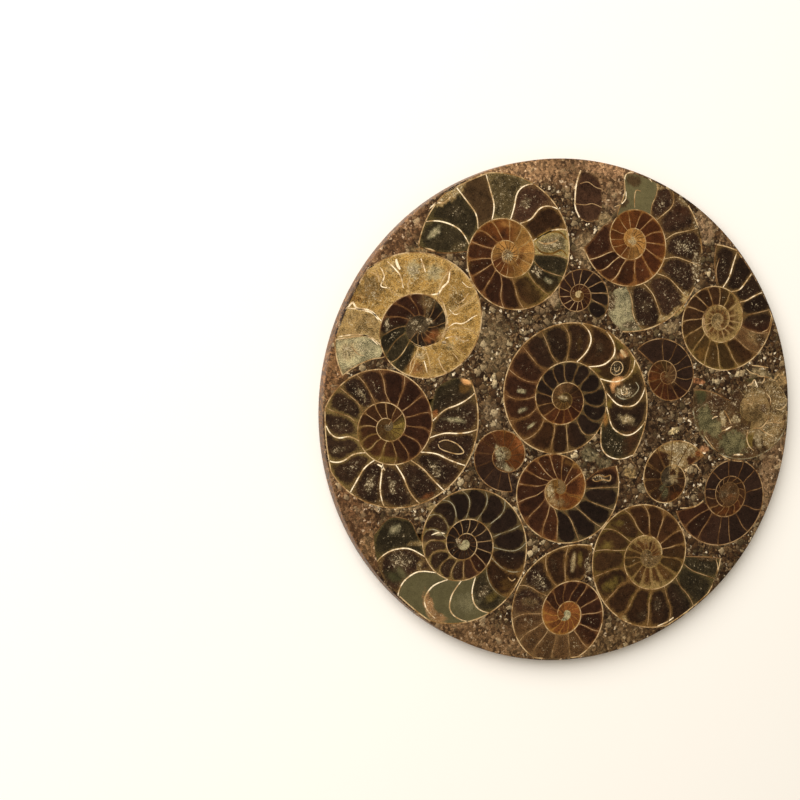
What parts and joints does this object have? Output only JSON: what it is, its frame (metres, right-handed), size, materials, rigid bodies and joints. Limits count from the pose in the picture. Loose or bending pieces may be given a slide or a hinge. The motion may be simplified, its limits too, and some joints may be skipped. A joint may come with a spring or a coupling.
{
  "type": "ammonite fossil slice",
  "caption": "Round polished plate of crushed stone and shell grit with sliced ammonites, large and small, set flush in its face.",
  "frame": {"origin": "middle of the underside, on the surface that the plate lies on", "axes": "+Z out of the polished face, through the thickness; +X and +Y lie in the plate, with +Y towards the edge that holds the three northern ammonites"},
  "size_m": [0.15, 0.15, 0.005],
  "materials": {
    "grit": "satin",
    "dark_calcite": "polished",
    "brown_calcite": "polished",
    "amber_calcite": "polished",
    "gold_calcite": "polished",
    "olive_calcite": "polished",
    "pale_calcite": "polished",
    "mud_filled_calcite": "polished"
  },
  "bodies": {
    "root": {"grit_plate": "grit", "ammonite_west": "dark_calcite", "ammonite_north_west": "gold_calcite", "ammonite_north": "olive_calcite", "ammonite_north_east": "brown_calcite", "ammonite_east_high": "brown_calcite", "ammonite_east_pale": "pale_calcite", "ammonite_east_low": "dark_calcite", "ammonite_south_east": "olive_calcite", "ammonite_south": "brown_calcite", "ammonite_south_west": "mud_filled_calcite", "ammonite_centre": "dark_calcite", "ammonite_centre_south": "amber_calcite", "ammonite_small_west": "amber_calcite", "ammonite_small_north": "brown_calcite", "ammonite_small_east": "brown_calcite", "ammonite_small_broken": "dark_calcite", "ammonite_fragment": "dark_calcite"}
  },
  "joints": []
}
